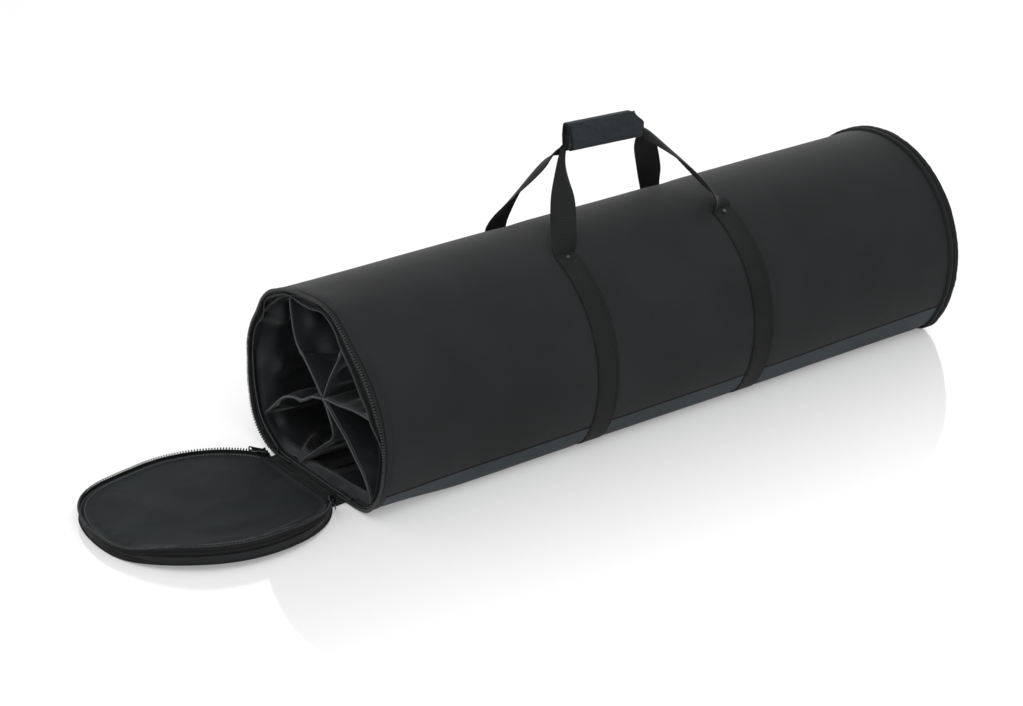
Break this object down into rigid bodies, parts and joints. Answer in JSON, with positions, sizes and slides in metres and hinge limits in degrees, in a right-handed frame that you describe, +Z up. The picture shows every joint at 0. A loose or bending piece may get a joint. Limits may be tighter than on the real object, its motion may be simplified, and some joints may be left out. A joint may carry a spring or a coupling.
{
  "type": "mic stand bag",
  "caption": "Long padded fabric bag for folded microphone stands, with padded compartments, a round zipped end flap that opens flat and a wrapped webbing carry handle.",
  "frame": {"origin": "on the ground, at the middle of the bag's flat underside", "axes": "+X from the open mouth towards the closed end, +Y to the far side, +Z up"},
  "size_m": [1.4437, 0.3628, 0.4491],
  "materials": {
    "outer_fabric": "black woven polyester, matt",
    "bottom_fabric": "dark grey coated fabric, matt",
    "foam": "closed-cell foam padding, matt",
    "lining_fabric": "dark grey lining, slight satin",
    "divider_fabric": "near-black nylon, satin",
    "binding_fabric": "black binding tape, matt",
    "webbing": "black ribbed webbing",
    "grip_fabric": "dark padded fabric, matt",
    "hook_tape": "hook and loop tape, matt",
    "zip_tape": "black knitted zipper tape",
    "zip_teeth": "black nylon coil",
    "zip_metal": "dark plated metal, satin",
    "rivet_metal": "black enamelled metal, glossy"
  },
  "bodies": {
    "bag": {"outer_panel": "outer_fabric", "bottom_panel": "bottom_fabric", "seam_tape_near": "binding_fabric", "seam_tape_far": "binding_fabric", "wall_padding": "foam", "wall_lining": "lining_fabric", "mouth_binding": "binding_fabric", "rear_panel": "outer_fabric", "rear_padding": "foam", "rear_lining": "lining_fabric", "rear_binding": "binding_fabric", "strap_front": "webbing", "strap_rear": "webbing", "strap_rivet_near_front": "rivet_metal", "strap_rivet_near_rear": "rivet_metal", "strap_rivet_far_front": "rivet_metal", "strap_rivet_far_rear": "rivet_metal", "divider_near_side": "divider_fabric", "divider_near_top": "divider_fabric", "divider_far_top": "divider_fabric", "divider_far_side": "divider_fabric", "divider_bottom": "divider_fabric", "divider_near_bottom": "divider_fabric", "divider_centre_seam": "divider_fabric", "handle_leg_near_front": "webbing", "handle_leg_near_rear": "webbing", "handle_leg_far_front": "webbing", "handle_leg_far_rear": "webbing", "hinge_strip": "binding_fabric", "mouth_zip_tape": "zip_tape", "mouth_zip_teeth": "zip_teeth", "mouth_zip_stop_near": "zip_metal", "mouth_zip_stop_far": "zip_metal"},
    "handle": {"handle_bar_near": "webbing", "handle_bar_far": "webbing", "grip_padding": "foam", "grip_wrap": "grip_fabric", "grip_hook_tape": "hook_tape"},
    "grip_flap": {"grip_flap": "grip_fabric", "grip_loop_tape": "hook_tape"},
    "flap": {"flap_panel": "outer_fabric", "flap_padding": "foam", "flap_lining": "lining_fabric", "flap_piping": "binding_fabric", "flap_zip_tape": "zip_tape", "flap_zip_teeth": "zip_teeth", "flap_zip_stop_near": "zip_metal", "flap_zip_stop_far": "zip_metal"},
    "slider_near": {"zip_slider_near": "zip_metal"},
    "slider_far": {"zip_slider_far": "zip_metal"},
    "pull_near": {"zip_pull_near": "zip_metal"},
    "pull_far": {"zip_pull_far": "zip_metal"}
  },
  "joints": [
    {"name": "flap_hinge", "type": "hinge", "parent": "bag", "child": "flap", "pos_m": [-0.5765, 0, 0.001], "axis": [0, 1, 0], "range_deg": [0, 90]},
    {"name": "handle_swing", "type": "hinge", "parent": "bag", "child": "handle", "pos_m": [-0.0385, 0, 0.297], "axis": [-1, 0, 0], "range_deg": [-100, 100], "deforming": ["handle_leg_near_front", "handle_leg_near_rear", "handle_leg_far_front", "handle_leg_far_rear"]},
    {"name": "grip_flap_open", "type": "hinge", "parent": "handle", "child": "grip_flap", "pos_m": [-0.0385, 0, 0.3994], "axis": [1, 0, 0], "range_deg": [0, 150]},
    {"name": "zip_slide_near", "type": "hinge", "parent": "flap", "child": "slider_near", "pos_m": [-0.72356, 0, 0.001], "axis": [0, 0, -1], "range_deg": [0, 137]},
    {"name": "zip_slide_far", "type": "hinge", "parent": "flap", "child": "slider_far", "pos_m": [-0.72356, 0, 0.001], "axis": [0, 0, 1], "range_deg": [0, 137]},
    {"name": "pull_swing_near", "type": "hinge", "parent": "slider_near", "child": "pull_near", "pos_m": [-0.57771, -0.09472, 0.0184], "axis": [0, 0, 1], "range_deg": [0, 90]},
    {"name": "pull_swing_far", "type": "hinge", "parent": "slider_far", "child": "pull_far", "pos_m": [-0.57771, 0.09472, 0.0184], "axis": [0, 0, -1], "range_deg": [0, 90]}
  ]
}
